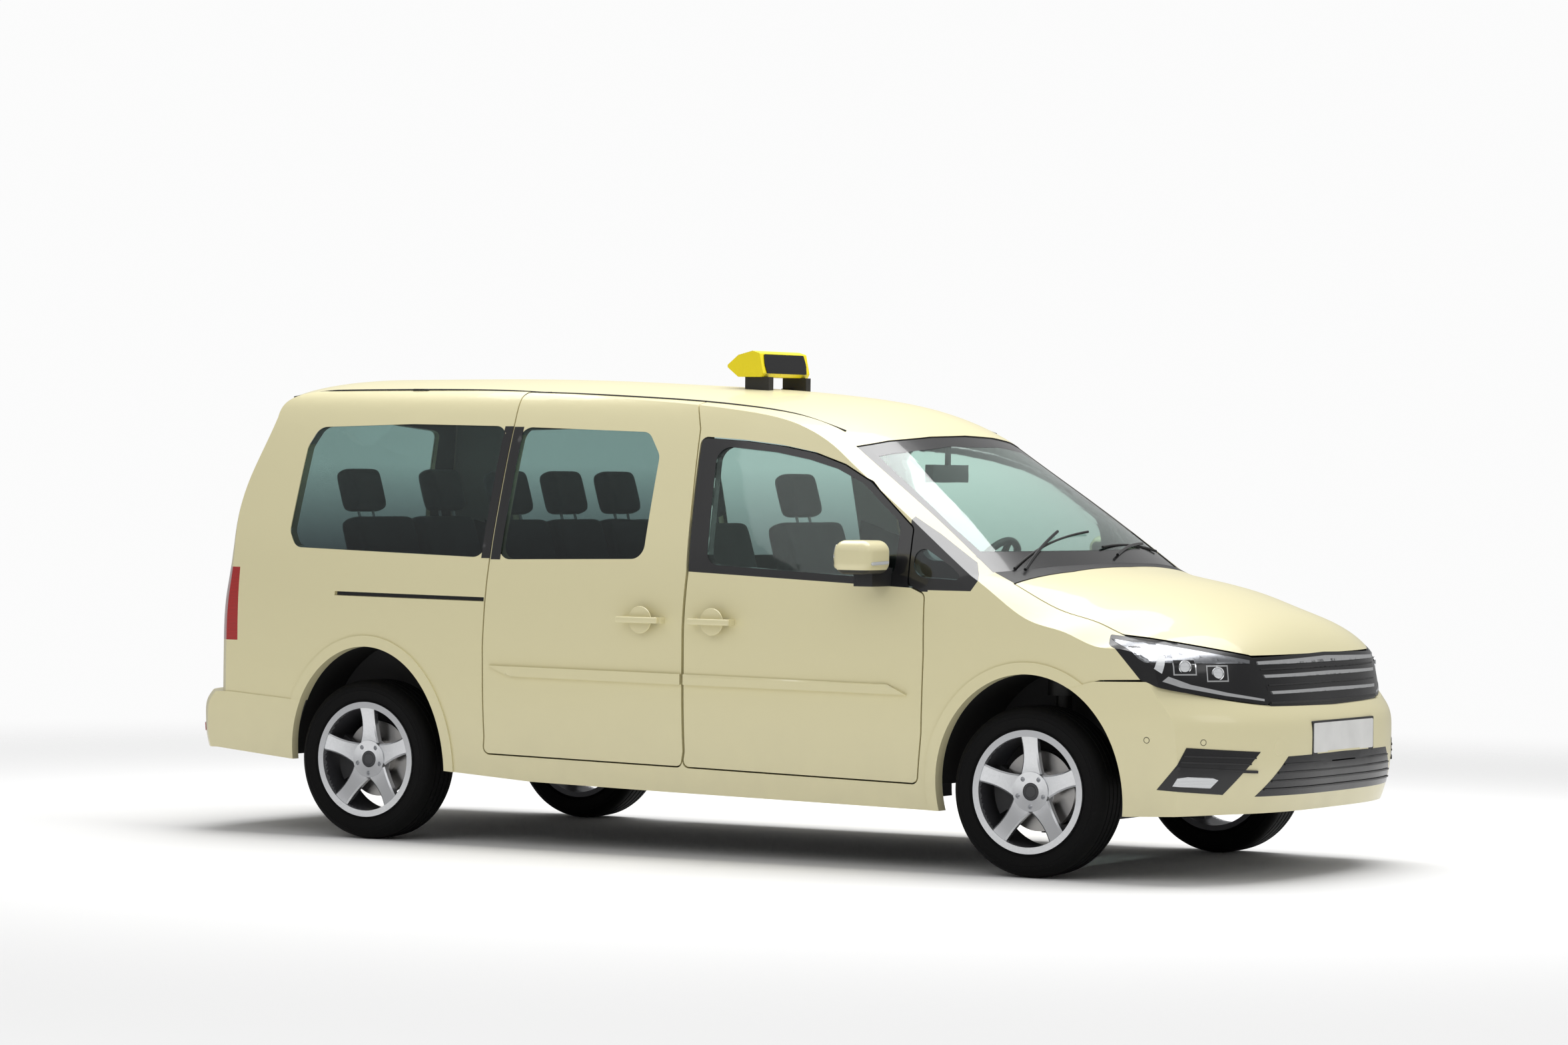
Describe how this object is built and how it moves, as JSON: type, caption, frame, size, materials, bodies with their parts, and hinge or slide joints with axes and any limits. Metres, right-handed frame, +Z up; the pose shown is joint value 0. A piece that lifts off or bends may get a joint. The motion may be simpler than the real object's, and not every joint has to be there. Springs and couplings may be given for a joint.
{
  "type": "taxi cab",
  "caption": "Long-wheelbase people-carrier taxi with sliding side doors, lift-up tailgate, steered front wheels and a blank roof sign.",
  "frame": {"origin": "on the ground, at the middle of the overall length and width", "axes": "+X forward, +Y to the vehicle's left, +Z up"},
  "size_m": [4.8789, 2.24, 1.9658],
  "materials": {
    "paint": "gloss light ivory",
    "glass": "tinted",
    "red_lens": "gloss",
    "lamp_lens": "clear gloss",
    "black_plastic": "grained",
    "dark_plastic": "matte",
    "sign_yellow": "gloss",
    "dark_metal": "underseal",
    "engine_metal": "cast",
    "seat_fabric": "woven",
    "tyre": "matte",
    "alloy": "bright silver",
    "disc_steel": "machined"
  },
  "bodies": {
    "body": {"side_frame_right": "paint", "side_frame_left": "paint", "front_wings": "paint", "roof_panel": "paint", "windscreen": "glass", "tail_lamps": "red_lens", "front_bumper": "paint", "rear_bumper": "paint", "headlamps": "lamp_lens", "front_grille": "black_plastic", "sliding_doors": "paint", "fixed_side_glass": "glass", "rear_axle": "dark_metal", "floor_pan": "dark_metal", "scuttle": "black_plastic", "front_subframe": "dark_metal", "front_struts": "dark_metal", "engine": "engine_metal", "underfloor_tank": "dark_plastic", "rear_springs": "dark_metal", "dashboard": "black_plastic", "steering_column": "black_plastic", "front_seat_right": "seat_fabric", "front_seat_left": "seat_fabric", "second_seat_row": "seat_fabric", "third_seat_row": "seat_fabric", "seat_bases": "dark_metal", "interior_mirror": "black_plastic", "roof_sign": "sign_yellow", "sign_stand": "black_plastic"},
    "bonnet": {"bonnet": "paint"},
    "tailgate": {"tailgate": "paint", "tailgate_glass": "glass"},
    "front_door_right": {"front_door_right": "paint", "door_glass_right": "glass", "door_mirror_right": "black_plastic"},
    "front_door_left": {"front_door_left": "paint", "door_glass_left": "glass", "door_mirror_left": "black_plastic"},
    "steering_wheel": {"steering_wheel": "black_plastic"},
    "knuckle_right": {"knuckle_right": "dark_metal"},
    "knuckle_left": {"knuckle_left": "dark_metal"},
    "wheel_front_right": {"tyre_front_right": "tyre", "rim_front_right": "alloy", "brake_disc_front_right": "disc_steel"},
    "wheel_front_left": {"tyre_front_left": "tyre", "rim_front_left": "alloy", "brake_disc_front_left": "disc_steel"},
    "wheel_rear_right": {"tyre_rear_right": "tyre", "rim_rear_right": "alloy", "brake_disc_rear_right": "disc_steel"},
    "wheel_rear_left": {"tyre_rear_left": "tyre", "rim_rear_left": "alloy", "brake_disc_rear_left": "disc_steel"}
  },
  "joints": [
    {"name": "steer_right", "type": "hinge", "parent": "body", "child": "knuckle_right", "pos_m": [1.561, -0.655, 0.3184], "axis": [0, 0, 1], "range_deg": [-32, 32]},
    {"name": "steer_left", "type": "hinge", "parent": "body", "child": "knuckle_left", "pos_m": [1.561, 0.655, 0.3184], "axis": [0, 0, 1], "range_deg": [-32, 32]},
    {"name": "steering_wheel_turn", "type": "hinge", "parent": "body", "child": "steering_wheel", "pos_m": [0.715, 0.372, 1.07], "axis": [-0.8829, 0, 0.4695], "range_deg": [-480, 480]},
    {"name": "front_door_right_swing", "type": "hinge", "parent": "body", "child": "front_door_right", "pos_m": [1.13, -0.898, 0.7], "axis": [0, 0, 1], "range_deg": [0, 68]},
    {"name": "front_door_left_swing", "type": "hinge", "parent": "body", "child": "front_door_left", "pos_m": [1.13, 0.898, 0.7], "axis": [0, 0, -1], "range_deg": [0, 68]},
    {"name": "bonnet_lift", "type": "hinge", "parent": "body", "child": "bonnet", "pos_m": [1.425, 0, 1.16], "axis": [0, -1, 0], "range_deg": [0, 50]},
    {"name": "tailgate_lift", "type": "hinge", "parent": "body", "child": "tailgate", "pos_m": [-2.03, 0, 1.835], "axis": [0, 1, 0], "range_deg": [0, 85]},
    {"name": "wheel_front_right_roll", "type": "hinge", "parent": "knuckle_right", "child": "wheel_front_right", "pos_m": [1.561, -0.772, 0.3184], "axis": [0, 1, 0], "continuous": true},
    {"name": "wheel_front_left_roll", "type": "hinge", "parent": "knuckle_left", "child": "wheel_front_left", "pos_m": [1.561, 0.772, 0.3184], "axis": [0, 1, 0], "continuous": true},
    {"name": "wheel_rear_right_roll", "type": "hinge", "parent": "body", "child": "wheel_rear_right", "pos_m": [-1.445, -0.772, 0.3184], "axis": [0, 1, 0], "continuous": true},
    {"name": "wheel_rear_left_roll", "type": "hinge", "parent": "body", "child": "wheel_rear_left", "pos_m": [-1.445, 0.772, 0.3184], "axis": [0, 1, 0], "continuous": true}
  ],
  "couplings": [
    {"joint": "steer_left", "follows": "steer_right", "ratio": 1},
    {"joint": "steering_wheel_turn", "follows": "steer_right", "ratio": 15}
  ]
}
